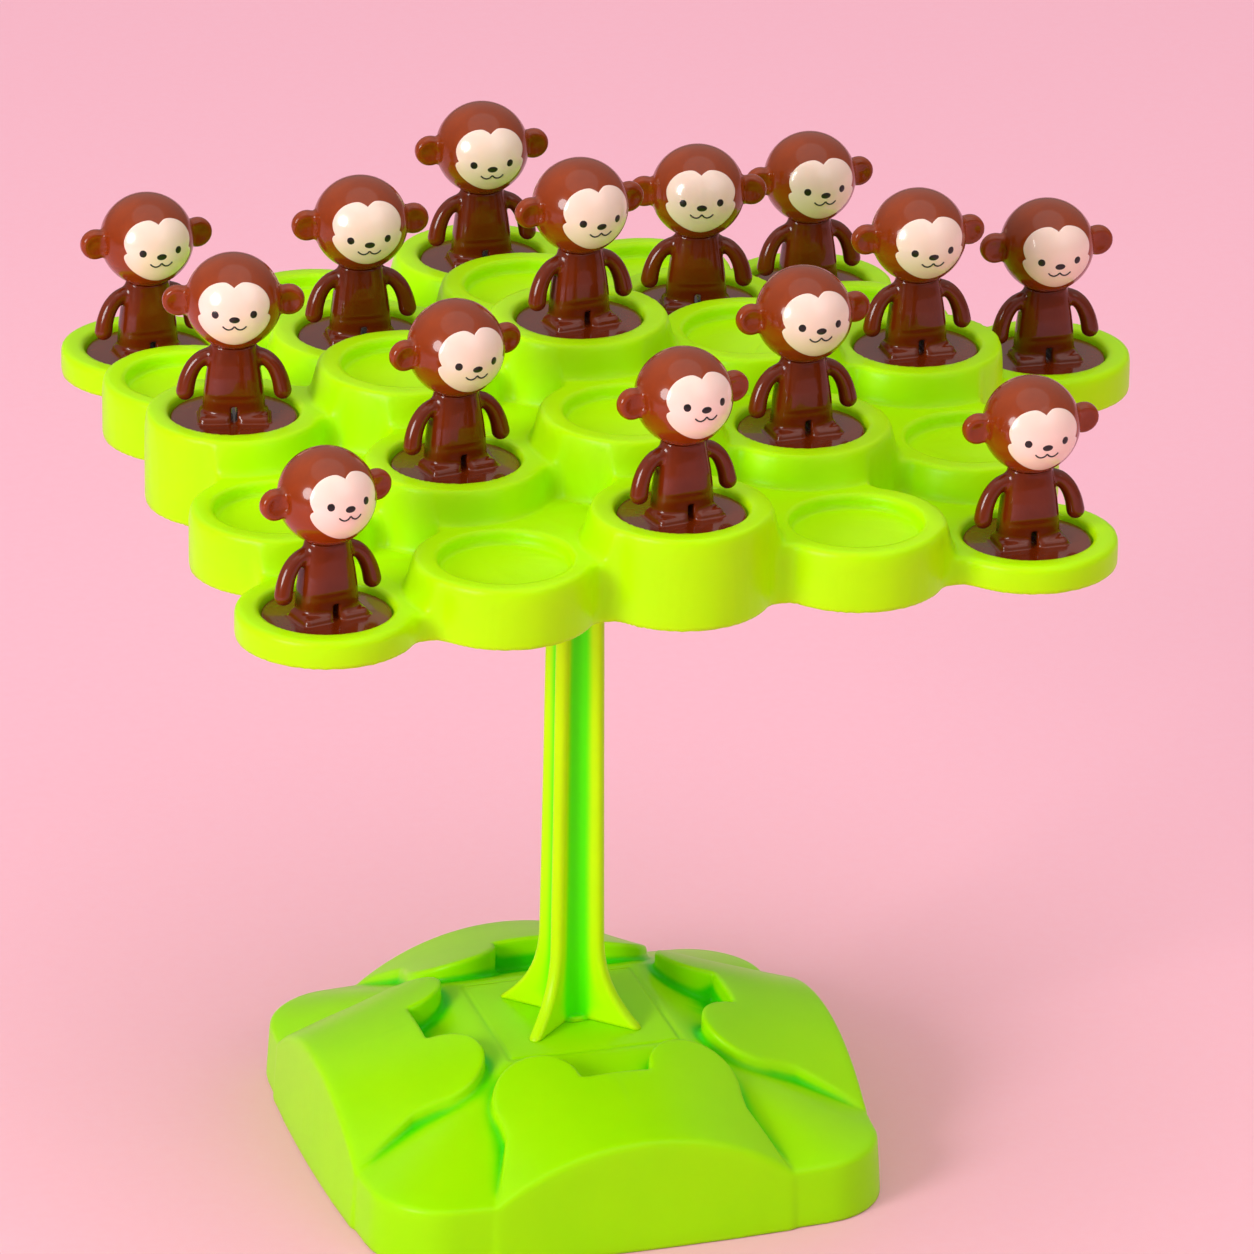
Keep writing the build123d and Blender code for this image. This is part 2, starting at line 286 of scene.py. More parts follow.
def piece_from_field(name, field, axes, cell, keep_share=1.0):
    """A smooth mesh of the field's surface. Its points and normals both follow the field."""
    low = np.array([axis[0] for axis in axes])
    slopes = np.gradient(field, cell)
    places, index = surface_points(field)
    quads = surface_quads(field, index)
    slope = gradient_at(slopes, places)
    steep = np.maximum((slope ** 2).sum(axis=1), 0.2)
    move = -sample(field, places) / steep / cell
    places = places + np.clip(move, -0.5, 0.5)[:, None] * slope
    mesh = mesh_from_arrays(name, places * cell + low, quads)
    piece = make_piece(name, mesh)
    if keep_share < 1:
        fewer = piece.modifiers.new("fewer", "DECIMATE")
        fewer.ratio = keep_share
        applied(piece)
    co = np.zeros(len(piece.data.vertices) * 3, np.float32)
    piece.data.vertices.foreach_get("co", co)
    normals = gradient_at(slopes, (co.reshape(-1, 3) - low) / cell)
    normals /= np.maximum(np.linalg.norm(normals, axis=1), 1e-6)[:, None]
    piece.data.normals_split_custom_set_from_vertices(normals.tolist())
    return piece


def averaged(values, reach):
    """The values averaged over a small cube of grid points round each one."""
    for axis in range(3):
        pad = [(0, 0)] * 3
        pad[axis] = (reach + 1, reach)
        total = np.cumsum(np.pad(values, pad), axis=axis)
        count = values.shape[axis]
        ahead = np.take(total, range(2 * reach + 1, 2 * reach + 1 + count), axis=axis)
        values = (ahead - np.take(total, range(count), axis=axis)) / (2 * reach + 1)
    return values


def mark_hollows(piece, form, axes, cell):
    """How much of the space round each point is filled: half on flat parts, more in hollows."""
    low = np.array([axis[0] for axis in axes])
    filled = averaged(averaged((form < 0).astype(np.float32), shade_reach), shade_reach)
    co = np.zeros(len(piece.data.vertices) * 3, np.float32)
    piece.data.vertices.foreach_get("co", co)
    # Kept on each point as an attribute that sets how much painted shade the green plastics get there.
    shade = piece.data.attributes.new("hollow", "FLOAT", "POINT")
    shade.data.foreach_set("value", sample(filled, (co.reshape(-1, 3) - low) / cell).astype(np.float32))


def smooth_shaded(piece):
    for face in piece.data.polygons:
        face.use_smooth = True
    return piece


# Tray

def cup_level(column, row):
    middle = (CUP_COUNT - 1) / 2
    return CUP_COUNT - 1 - abs(column - middle) - abs(row - middle)


def cup_place(column, row):
    middle = (CUP_COUNT - 1) / 2
    return (column - middle) * 2 * cup_radius, (row - middle) * 2 * cup_radius


def tray_cups():
    """Each cup's middle and the height of its rim above the tray's lower edge."""
    cups = []
    for row in range(CUP_COUNT):
        for column in range(CUP_COUNT):
            rim = first_rim_height + cup_level(column, row) * level_step
            cups.append((*cup_place(column, row), rim))
    side_rim = first_rim_height + side_cup_level_share * level_step
    cups.append((*cup_place(side_cup_column, side_cup_row), side_rim))
    return cups


def inside_triangle(x, y, a, b, c):
    signs = []
    for (ax, ay), (bx, by) in ((a, b), (b, c), (c, a)):
        signs.append((bx - ax) * (y - ay) - (by - ay) * (x - ax) > 0)
    return (signs[0] == signs[1]) & (signs[1] == signs[2])


def touching(first, second):
    return np.hypot(first[0] - second[0], first[1] - second[1]) < 2 * cup_radius + cup_neck_radius


def plan_distance(x, y, places):
    """How far a point of the plan lies outside the joined cups, less than zero within."""
    distance = np.full(x.shape, 1.0)
    for cx, cy in places:
        distance = np.minimum(distance, np.hypot(x - cx, y - cy) - cup_radius)
    fills = []
    for i, first in enumerate(places):
        for second in places[i + 1:]:
            if not touching(first, second):
                continue
            along_x, along_y = second[0] - first[0], second[1] - first[1]
            span = np.hypot(along_x, along_y)
            reach = sqrt((cup_radius + cup_neck_radius) ** 2 - (span / 2) ** 2)
            for side in (-1, 1):
                qx = (first[0] + second[0]) / 2 - side * along_y / span * reach
                qy = (first[1] + second[1]) / 2 + side * along_x / span * reach
                wedge = inside_triangle(x, y, first, (qx, qy), second)
                neck = cup_neck_radius - np.hypot(x - qx, y - qy)
                distance = np.where(wedge, neck, distance)
            for third in places:
                if third not in (first, second) and touching(first, third) and touching(second, third):
                    fills.append((first, second, third))
    for triangle in fills:
        distance = np.where(inside_triangle(x, y, *triangle), -cup_neck_radius, distance)
    pitch = 2 * cup_radius
    for cx, cy in places:
        block = [(cx + pitch, cy), (cx, cy + pitch), (cx + pitch, cy + pitch)]
        if all(any(np.hypot(bx - px, by - py) < mm for px, py in places) for bx, by in block):
            square = np.maximum(abs(x - cx - cup_radius), abs(y - cy - cup_radius)) - cup_radius
            distance = np.minimum(distance, square)
    return distance


def near(axis, middle, reach):
    return slice(*np.searchsorted(axis, (middle - reach, middle + reach)))


def stepped_field(z, heights, outlines, inset):
    """The tray's steps as one solid form, drawn in and lowered by the inset."""
    terrain = np.full(outlines[0].shape, heights[0] - inset)
    for lower, upper, outline in zip(heights, heights[1:], outlines[1:]):
        fall = smooth_step((outline + inset + step_wall_start) / step_wall_run)
        terrain += (upper - lower) * (1 - fall)
    slope = np.hypot(*np.gradient(terrain, tray_cell))
    top = (z - terrain[..., None]) / np.sqrt(1 + slope ** 2)[..., None]
    edge = outlines[0][..., None] + inset + 0 * z
    return cut_rounded(top, edge, rim_rounding)


def tray_field(axes):
    """The tray as it is, and as it would be without its hollow."""
    xs, ys, zs = axes
    x, y = np.meshgrid(xs, ys, indexing="ij")
    z = zs[None, None, :]
    cups = tray_cups()
    heights = sorted({rim for _, _, rim in cups})
    outlines = [plan_distance(x, y, [cup[:2] for cup in cups if cup[2] >= height]) for height in heights]
    solid = stepped_field(z, heights, outlines, 0)
    hollow = stepped_field(z, heights, outlines, tray_wall)
    for cx, cy, rim in cups:
        part = (near(xs, cx, cup_radius), near(ys, cy, cup_radius))
        across = (np.hypot(x[part] - cx, y[part] - cy) - recess_radius)[..., None]
        floor = rim - recess_depth
        recess = cut_rounded(across + 0 * z, floor - z + 0 * across, recess_floor_rounding)
        solid[part] = cut_rounded(solid[part], -recess, lip_rounding)
        under = np.maximum(across - tray_wall, floor - tray_wall - z)
        hollow[part] = np.maximum(hollow[part], -under)
    form = solid
    solid = np.maximum(form, -hollow)
    middle = np.hypot(x, y)[..., None]
    socket_z = pivot_height - tray_low()
    boss_top = heights[-1] - recess_depth - tray_wall / 2
    boss = np.maximum(np.maximum(middle - boss_radius, socket_z - z), z - boss_top)
    solid = np.minimum(solid, boss)
    pocket = socket_radius - np.sqrt(middle ** 2 + (z - socket_z) ** 2)
    solid = np.maximum(solid, pocket)
    return np.maximum(solid, -z).astype(np.float32), form


def tray_low():
    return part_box("tray")[0].z


def make_tray():
    low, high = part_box("tray")
    axes = grid_axes((low.x, low.y, 0), (high.x, high.y, high.z - low.z), tray_cell)
    field, form = tray_field(axes)
    axes[2] = axes[2] + low.z
    piece = piece_from_field("tray_shell", field, axes, tray_cell, 0.5)
    mark_hollows(piece, form, axes, tray_cell)
    piece.data.materials.append(tray_plastic())
    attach(piece, "tray")
    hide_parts("tray")
    return piece


# Base

def bowed_square(x, y, half, bow, corner):
    """A rounded square with sides that bow outwards, its half width measured at their middles."""
    radius = ((half - bow) ** 2 + bow ** 2) / (2 * bow)
    side_x = np.hypot(abs(x) + radius - half, y) - radius
    side_y = np.hypot(x, abs(y) + radius - half) - radius
    return cut_rounded(side_x, side_y, corner)


def arch(across, height, drop):
    radius = (hill_half_width ** 2 + drop ** 2) / (2 * drop)
    return height - radius + np.sqrt(np.maximum(radius ** 2 - across ** 2, 0))


def hill_field(across, out, z):
    lobe_middle = hill_inner_edge + lobe_radius
    lobes = np.hypot(abs(across) - lobe_reach, out - lobe_middle) - lobe_radius
    spread = (hill_half_width - hill_waist_half_width) / (base_half_width - hill_flare_start)
    side = abs(across) - hill_waist_half_width - np.maximum(out - hill_flare_start, 0) * spread
    plan = join_rounded(np.maximum(lobe_middle - out, side), lobes, lobe_fillet)
    share = (out - hill_inner_edge) / (base_half_width - hill_inner_edge)
    inner = arch(across, hill_top_height, hill_top_drop)
    outer = arch(across, hill_arch_height, hill_arch_drop)
    top = inner + (outer - inner) * share
    return cut_rounded(plan + 0 * z, (z - top) * hill_slope_share, hill_rounding)


def base_field(axes):
    """The base as it is, and as it would be without its hollow."""
    x, y, z = (a.reshape(shape) for a, shape in zip(axes, ((-1, 1, 1), (1, -1, 1), (1, 1, -1))))
    rise = base_height - corner_wall_height
    run = base_half_width - plateau_half_width
    fallen = np.clip((base_height - z) / rise, 0, 1)
    half = plateau_half_width + run * fallen
    bow = least_bow + (base_side_bow - least_bow) * fallen
    corner = plateau_corner_radius + (base_corner_radius - plateau_corner_radius) * fallen
    slope = bowed_square(x, y, half, bow, corner) * rise / sqrt(rise ** 2 + run ** 2)
    solid = cut_rounded(slope, z - base_height + 0 * slope, slope_rounding)
    for across, out in ((x, -y), (x, y), (y, -x), (y, x)):
        solid = join_rounded(solid, hill_field(across + 0 * out, out + 0 * across, z), hill_fillet)
    half = base_half_width - wall_lean * z / base_height
    wall = bowed_square(x, y, half, base_side_bow, base_corner_radius)
    form = cut_rounded(solid, wall, wall_rounding)
    hollow = form + base_wall
    line = np.maximum(
        abs(np.maximum(abs(x), abs(y)) - line_middle) - line_width / 2,
        base_height - line_depth - z,
    )
    solid = np.maximum(np.maximum(form, -line), -hollow)
    middle = np.hypot(x, y)
    boss = np.maximum(middle - peg_radius - base_wall, z - base_height + base_wall / 2)
    bore = np.maximum(middle - peg_radius, base_wall - z)
    solid = np.maximum(np.minimum(solid, boss), -bore)
    return np.maximum(solid, -z).astype(np.float32), form


def make_base():
    low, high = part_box("base")
    axes = grid_axes(low, high, base_cell)
    field, form = base_field(axes)
    piece = piece_from_field("base_shell", field, axes, base_cell, 0.4)
    mark_hollows(piece, form, axes, base_cell)
    piece.data.materials.append(stand_plastic())
    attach(piece, "stand")
    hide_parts("base")
    return piece


# Trunk

def trunk_field(axes):
    x, y, z = (a.reshape(shape) for a, shape in zip(axes, ((-1, 1, 1), (1, -1, 1), (1, 1, -1))))
    u, v = abs(x + y) / sqrt(2), abs(x - y) / sqrt(2)
    out, aside = np.maximum(u, v), np.minimum(u, v)
    up = (z - base_height) / (trunk_shoulder_height - base_height)
    tip = trunk_foot_radius + (trunk_top_radius - trunk_foot_radius) * np.clip(up, 0, 1)
    low = np.clip((z - base_height) / root_height, 0, 1)
    tip = tip + (root_radius - trunk_foot_radius) * (1 - low) ** root_flare_power
    fins = cut_rounded(out - tip, aside - fin_half_thickness + 0 * z, fin_rounding)
    core = np.hypot(u, v) - trunk_core_radius + 0 * z
    star = join_rounded(fins, core, flute_fillet)
    shaft = np.maximum(np.maximum(star, z - trunk_shoulder_height), base_height - z)
    middle = np.hypot(x, y)
    below_ball = abs(z - pivot_height + trunk_ball_radius) - trunk_ball_radius
    neck = np.maximum(middle - trunk_neck_radius, below_ball)
    ball = np.sqrt(middle ** 2 + (z - pivot_height) ** 2) - trunk_ball_radius
    peg = np.maximum(middle - peg_radius, np.maximum(peg_bottom - z, z - base_height - peg_overlap))
    solid = np.minimum(np.minimum(shaft, neck), np.minimum(ball, peg))
    return solid.astype(np.float32)


def make_trunk():
    low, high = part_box("trunk")
    axes = grid_axes(low, high, trunk_cell)
    field = trunk_field(axes)
    piece = piece_from_field("tree_trunk", field, axes, trunk_cell)
    mark_hollows(piece, field, axes, trunk_cell)
    piece.data.materials.append(trunk_plastic())
    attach(piece, "stand")
    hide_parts("trunk")
    return piece


# Monkeys

def ball_field(x, y, z, middle, radii):
    """An egg shape, as a rough distance."""
    q = [(a - m) / r for a, m, r in zip((x, y, z), middle, radii)]
    reach = np.sqrt(q[0] ** 2 + q[1] ** 2 + q[2] ** 2)
    return (reach - 1) * min(radii)


def limb_field(x, y, z, start, end, start_radius, end_radius):
    """A rod with round ends whose radius changes along it."""
    along = [b - a for a, b in zip(start, end)]
    length = sum(a * a for a in along)
    t = sum((p - s) * a for p, s, a in zip((x, y, z), start, along)) / length
    t = np.clip(t, 0, 1)
    away = [p - s - a * t for p, s, a in zip((x, y, z), start, along)]
    reach = np.sqrt(away[0] ** 2 + away[1] ** 2 + away[2] ** 2)
    return reach - start_radius - (end_radius - start_radius) * t


def box_field(x, y, z, middle, half, rounding):
    over = [abs(a - m) - h + rounding for a, m, h in zip((x, y, z), middle, half)]
    outer = np.sqrt(sum(np.maximum(o, 0) ** 2 for o in over))
    inner = np.minimum(np.maximum(np.maximum(over[0], over[1]), over[2]), 0)
    return outer + inner - rounding


# The torso's half width and half depth at heights above the disc's top
torso_heights = np.array([-1.0, 0.0, 3.0, 5.6, 9.0, 12.0, 14.0, 15.6, 17.5]) * mm
torso_half_widths = np.array([6.4, 6.4, 6.1, 5.9, 5.45, 4.9, 4.5, 4.2, 4.1]) * mm
torso_half_depths = np.array([4.1, 4.1, 4.1, 4.35, 4.15, 3.7, 3.3, 3.05, 3.0]) * mm
belly_crease_height = 5.0 * mm
belly_crease_width = 0.5 * mm
belly_crease_depth = 0.1 * mm
torso_roundness = 2.6
torso_top = 17.0 * mm


def torso_field(x, y, z):
    width = np.interp(z, torso_heights, torso_half_widths)
    depth = np.interp(z, torso_heights, torso_half_depths)
    crease = np.exp(-((z - belly_crease_height) / belly_crease_width) ** 2)
    depth = depth - belly_crease_depth * crease
    power = torso_roundness
    reach = ((abs(x) / width) ** power + (abs(y) / depth) ** power) ** (1 / power)
    side = (reach - 1) * depth
    return np.maximum(side, z - torso_top)


# The middle of an arm as it leaves the shoulder and hangs down: out, forward, up and its radius
arm_route = np.array([
    (3.6, 0, 13.4, 1.3),
    (6.1, 0, 12.3, 1.5),
    (7.9, -0.1, 10.4, 1.6),
    (9.0, -0.3, 7.9, 1.7),
    (9.5, -0.5, 5.5, 1.8),
]) * mm
arm_steps = 3
arm_fillet = 0.7 * mm

# Feet and the slot between them, with heights above the disc's top
foot_middle = (3.85 * mm, -1.0 * mm, 0.3 * mm)
foot_half_size = (3.1 * mm, 3.9 * mm, 1.2 * mm)
foot_rounding = 1.1 * mm
foot_fillet = 0.6 * mm
slot_middle = (0, 0, 1.3 * mm)
slot_half_size = (0.62 * mm, 12 * mm, 1.9 * mm)
slot_rounding = 0.2 * mm
slot_lip_rounding = 0.25 * mm


def arm_field(side, y, up):
    route = smooth_line(arm_route, arm_steps)
    arm = np.full((side + y + up).shape, 1.0)
    for start, end in zip(route, route[1:]):
        arm = np.minimum(arm, limb_field(side, y, up, start[:3], end[:3], start[3], end[3]))
    return arm


def body_field(axes):
    x, y, z = (a.reshape(shape) for a, shape in zip(axes, ((-1, 1, 1), (1, -1, 1), (1, 1, -1))))
    half_disc = (disc_thickness - disc_gap) / 2
    from_middle = abs(z - disc_thickness + half_disc)
    disc = cut_rounded(np.hypot(x, y) - disc_radius, from_middle - half_disc, disc_rounding)
    up = z - disc_thickness
    side = abs(x)
    solid = torso_field(side, y, up)
    foot = box_field(side, y, up, foot_middle, foot_half_size, foot_rounding)
    solid = join_rounded(solid, foot, foot_fillet)
    solid = join_rounded(solid, arm_field(side, y, up), arm_fillet)
    slot = box_field(side, y, up, slot_middle, slot_half_size, slot_rounding)
    solid = cut_rounded(solid, -slot, slot_lip_rounding)
    solid = join_rounded(solid, disc + 0 * up, disc_fillet)
    peg = np.maximum(np.hypot(x, y) - neck_peg_radius, abs(z - neck_peg_middle) - neck_peg_half_length)
    head = np.sqrt(x ** 2 + y ** 2 + (z - head_middle) ** 2) - head_radius
    solid = np.maximum(np.maximum(solid, -head), disc_gap - z)
    return np.minimum(solid, peg + 0 * solid).astype(np.float32)


# Ears, measured from the head's middle
ear_reach = 10.75 * mm
ear_setback = 0.4 * mm
ear_radius = 3.1 * mm
ear_half_thickness = 1.35 * mm
ear_rounding = 1.0 * mm
ear_fillet = 0.7 * mm
dish_middle = (11.0 * mm, -1.7 * mm, 0)
dish_radii = (2.2 * mm, 1.2 * mm, 2.2 * mm)
dish_lip_rounding = 0.4 * mm


def head_field(axes):
    x, y, z = (a.reshape(shape) for a, shape in zip(axes, ((-1, 1, 1), (1, -1, 1), (1, 1, -1))))
    ball = np.sqrt(x ** 2 + y ** 2 + z ** 2) - head_radius
    side = abs(x)
    from_middle = np.hypot(side - ear_reach, z)
    ear = cut_rounded(from_middle - ear_radius, abs(y - ear_setback) - ear_half_thickness, ear_rounding)
    dish = ball_field(side, y, z, dish_middle, dish_radii)
    ear = cut_rounded(ear, -dish, dish_lip_rounding)
    solid = join_rounded(ball, ear, ear_fillet)
    solid = np.maximum(solid, -dish)
    bore = np.maximum(np.hypot(x, y) - neck_bore_radius, z - neck_bore_top)
    return np.maximum(solid, -bore).astype(np.float32)


# Half of the face's outline as turns sideways and up from the head's middle, in degrees
face_outline = [
    (0, 26.2), (4.5, 29.8), (12, 33.0), (23, 32.0), (34, 27.2), (42, 19.2), (46.5, 9.4),
    (46.5, 1.0), (43.6, -7.5), (47.4, -9.6), (49.2, -13.5), (47.6, -21.5), (43.0, -30.0),
    (35.0, -39.2), (25.0, -46.6), (13.0, -51.6), (0, -53.5),
]
face_tip_back = 13.0
face_middle_rise = -8.0
face_ring_steps = 10
face_lift = 0.1 * mm
face_edge_sink = 0.16 * mm
face_back_depth = 0.6 * mm
face_back_share = 0.985


def on_head(turn, rise, radius):
    a, b = radians(turn), radians(rise)
    return Vector((radius * sin(a) * cos(b), -radius * cos(a) * cos(b), radius * sin(b)))


def smooth_line(points, steps):
    """Points along a smooth line through the given ones, which are kept."""
    result = []
    for i in range(len(points) - 1):
        p = [np.array(points[min(max(i + k, 0), len(points) - 1)], float) for k in (-1, 0, 1, 2)]
        for step in range(steps):
            t = step / steps
            result.append(tuple(0.5 * (
                2 * p[1] + (p[2] - p[0]) * t + (2 * p[0] - 5 * p[1] + 4 * p[2] - p[3]) * t ** 2
                + (3 * p[1] - p[0] - 3 * p[2] + p[3]) * t ** 3
            )))
    result.append(tuple(points[-1]))
    return result


def face_rim():
    """The whole outline of the face, with its dip, lobes and notches kept crisp."""
    upper = smooth_line(face_outline[:9], 5)
    lower = smooth_line(face_outline[8:], 5)
    half = upper + lower[1:]
    other = [(-turn, rise) for turn, rise in reversed(half[1:-1])]
    return half + other


def face_mesh():
    rim = face_rim()
    rings = [(step / face_ring_steps, face_lift) for step in range(1, face_ring_steps)]
    rings += [(0.965, face_lift), (0.988, face_lift * 0.55), (1.0, -face_edge_sink)]
    points = [on_head(0, face_middle_rise, head_radius + face_lift)]
    for share, lift in rings:
        for turn, rise in rim:
            ring_rise = face_middle_rise + (rise - face_middle_rise) * share
            points.append(on_head(turn * share, ring_rise, head_radius + lift))
    count = len(rim)
    faces = []
    for i in range(count):
        after = (i + 1) % count
        faces.append((0, 1 + after, 1 + i))
        for ring in range(len(rings) - 1):
            a, b = 1 + ring * count, 1 + (ring + 1) * count
            faces.append((a + i, a + after, b + after, b + i))
    back = len(points)
    points.append(on_head(0, face_middle_rise, head_radius - face_back_depth))
    last = 1 + (len(rings) - 1) * count
    for turn, rise in rim:
        ring_rise = face_middle_rise + (rise - face_middle_rise) * face_back_share
        points.append(on_head(turn * face_back_share, ring_rise, head_radius - face_back_depth))
    for i in range(count):
        after = (i + 1) % count
        faces.append((last + i, last + after, back + 1 + after, back + 1 + i))
        faces.append((back, back + 1 + i, back + 1 + after))
    mesh = bpy.data.meshes.new("monkey_face")
    mesh.from_pydata(points, [], faces)
    mesh.update()
    return mesh


def patch_on_head(turn, rise, half_width, half_height, lift, crown):
    """A small domed oval that lies on the face."""
    points = [on_head(turn, rise, head_radius + lift + crown)]
    shares = [(0.35, 0.92), (0.7, 0.6), (0.92, 0.25), (1.0, 0.0), (1.0, -0.6)]
    count = 28
    for share, height in shares:
        for i in range(count):
            a = 2 * pi * i / count
            across, up = half_width * share * cos(a), half_height * share * sin(a)
            at_turn = turn + np.degrees(across / head_radius / cos(radians(rise)))
            at_rise = rise + np.degrees(up / head_radius)
            points.append(on_head(at_turn, at_rise, head_radius + lift + crown * height))
    faces = []
    for i in range(count):
        after = (i + 1) % count
        faces.append((0, 1 + i, 1 + after))
        for ring in range(len(shares) - 1):
            a, b = 1 + ring * count, 1 + (ring + 1) * count
            faces.append((a + i, b + i, b + after, a + after))
    bottom = [1 + (len(shares) - 1) * count + i for i in reversed(range(count))]
    faces.append(tuple(bottom))
    return points, faces


def line_on_head(route, radius, lift):
    """A fine round line that follows turns and rises over the face."""
    middle = [on_head(turn, rise, head_radius + lift) for turn, rise in route]
    count = 8
    points, faces = [], []
    for i, place in enumerate(middle):
        ahead = middle[min(i + 1, len(middle) - 1)] - middle[max(i - 1, 0)]
        ahead.normalize()
        out = place.normalized()
        aside = ahead.cross(out).normalized()
        thin = 0.55 if i in (0, len(middle) - 1) else 1.0
        for k in range(count):
            a = 2 * pi * k / count
            points.append(place + aside * radius * thin * cos(a) + out * radius * thin * sin(a))
    for i in range(len(middle) - 1):
        for k in range(count):
            after = (k + 1) % count
            a, b = i * count, (i + 1) * count
            faces.append((a + k, a + after, b + after, b + k))
    faces.append(tuple(reversed(range(count))))
    last = (len(middle) - 1) * count
    faces.append(tuple(last + k for k in range(count)))
    return points, faces


# Turns, rises and half sizes of the features on the face
eye_turn = 22.9
eye_rise = -2.5
eye_half_size = (0.78 * mm, 0.8 * mm)
eye_crown = 0.09 * mm
nose_rise = -8.1
nose_half_size = (1.08 * mm, 0.68 * mm)
nose_crown = 0.12 * mm
feature_lift = face_lift - 0.02 * mm
mouth_steps = 5
mouth_line_radius = 0.16 * mm
mouth_route = [(-14.6, -16.4), (-11.6, -19.4), (-7.4, -21.0), (-3.1, -19.6), (0, -16.2)]


def features_mesh():
    """Eyes, nose and mouth in one mesh."""
    route = smooth_line(mouth_route, mouth_steps)
    other = smooth_line([(-turn, rise) for turn, rise in mouth_route], mouth_steps)
    forms = [
        patch_on_head(-eye_turn, eye_rise, *eye_half_size, feature_lift, eye_crown),
        patch_on_head(eye_turn, eye_rise, *eye_half_size, feature_lift, eye_crown),
        patch_on_head(0, nose_rise, *nose_half_size, feature_lift, nose_crown),
        line_on_head(route, mouth_line_radius, face_lift),
        line_on_head(other, mouth_line_radius, face_lift),
    ]
    points, faces = [], []
    for form_points, form_faces in forms:
        start = len(points)
        points += form_points
        faces += [tuple(start + i for i in face) for face in form_faces]
    mesh = bpy.data.meshes.new("monkey_features")
    mesh.from_pydata(points, [], faces)
    mesh.update()
    return mesh


def monkey_names():
    return sorted(body for body in frame["bodies"] if body.startswith("monkey_"))


MONKEY_TURNS = {
    "monkey_01": 13.3,
    "monkey_02": 10.3,
    "monkey_03": 1.2,
    "monkey_04": 10.8,
    "monkey_05": 3.8,
    "monkey_06": -13.2,
    "monkey_07": 10.3,
    "monkey_08": 0.8,
    "monkey_09": -3.7,
    "monkey_10": -12.0,
    "monkey_11": 4.5,
    "monkey_12": -2.6,
    "monkey_13": 2.7,
    "monkey_14": -2.2,
}

# How far a head looks down and, as no two faces are printed alike, how much lower its features lie
HEAD_DIPS = {
    "monkey_01": (0, 1.5),
    "monkey_02": (0, 2),
    "monkey_03": (8, 5),
    "monkey_04": (5, 7),
    "monkey_05": (0, 6),
    "monkey_06": (3.5, 4),
    "monkey_07": (5, 7.5),
    "monkey_08": (5, 7.5),
    "monkey_09": (0, 13),
    "monkey_10": (0, 6),
    "monkey_11": (2, 6),
    "monkey_12": (3, 10),
    "monkey_13": (4, 5),
    "monkey_14": (3, 9.5),
}


def disc_middle(name):
    """The middle of a monkey's disc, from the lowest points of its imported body."""
    body = frame["nodes"][f"{name}_body"].data
    bottom = min(v.co.z for v in body.vertices)
    ring = [v.co for v in body.vertices if v.co.z < bottom + 0.1 * mm]
    xs = [co.x for co in ring]
    ys = [co.y for co in ring]
    return Vector(((min(xs) + max(xs)) / 2, (min(ys) + max(ys)) / 2, bottom))


def make_monkeys():
    low = (-disc_radius, -disc_radius, 0)
    axes = grid_axes(low, (disc_radius, disc_radius, body_top), body_cell)
    body = piece_from_field("monkey_body_form", body_field(axes), axes, body_cell)
    axes = grid_axes([-reach for reach in head_grid_reach], head_grid_reach, head_cell)
    head = piece_from_field("monkey_head_form", head_field(axes), axes, head_cell)
    face = smooth_shaded(make_piece("monkey_face_form", face_mesh()))
    features = smooth_shaded(make_piece("monkey_features_form", features_mesh()))
    body.data.materials.append(body_plastic())
    head.data.materials.append(head_plastic())
    face.data.materials.append(face_paint())
    features.data.materials.append(feature_paint())
    for name in monkey_names():
        stand = Matrix.Translation(disc_middle(name)) @ Matrix.Rotation(radians(MONKEY_TURNS[name]), 4, "Z")
        nod, drop = HEAD_DIPS[name]
        at_head = stand @ Matrix.Translation((0, 0, head_middle)) @ Matrix.Rotation(radians(nod), 4, "X")
        at_face = at_head @ Matrix.Rotation(radians(-face_tip_back), 4, "X")
        at_features = at_face @ Matrix.Rotation(radians(drop), 4, "X")
        parts = [
            ("body", body, stand, "body", "brown"),
            ("head", head, at_head, "head", "brown"),
            ("face_plate", face, at_face, "face", "cream"),
            ("eyes_nose_mouth", features, at_features, None, "brown"),
        ]
        for label, form, place, node, slot in parts:
            piece = make_piece(f"{name}_{label}_look", form.data)
            piece.matrix_world = place
            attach(piece, name)
            if node:
                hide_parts(f"{name}_{node}")
    for form in (body, head, face, features):
        bpy.data.objects.remove(form)


# Materials

def new_material(name):
    material = bpy.data.materials.new(name)
    material.use_nodes = True
    nodes = material.node_tree.nodes
    return material, nodes, material.node_tree.links, nodes["Principled BSDF"]


def noise(nodes, links, scale, detail=2.0, roughness=0.5):
    place = nodes.new("ShaderNodeTexCoord")
    texture = nodes.new("ShaderNodeTexNoise")
    texture.inputs["Scale"].default_value = scale
    texture.inputs["Detail"].default_value = detail
    texture.inputs["Roughness"].default_value = roughness
    links.new(place.outputs["Object"], texture.inputs["Vector"])
    return texture


def ramp(nodes, links, source, stops):
    node = nodes.new("ShaderNodeValToRGB")
    elements = node.color_ramp.elements
    while len(elements) < len(stops):
        elements.new(0.5)
    for element, (place, colour) in zip(elements, stops):
        element.position = place
        element.color = (*colour, 1)
    links.new(source, node.inputs["Fac"])
    return node


def bump(nodes, links, source, distance, strength=1.0):
    node = nodes.new("ShaderNodeBump")
    node.inputs["Distance"].default_value = distance
    node.inputs["Strength"].default_value = strength
    links.new(source, node.inputs["Height"])
    return node


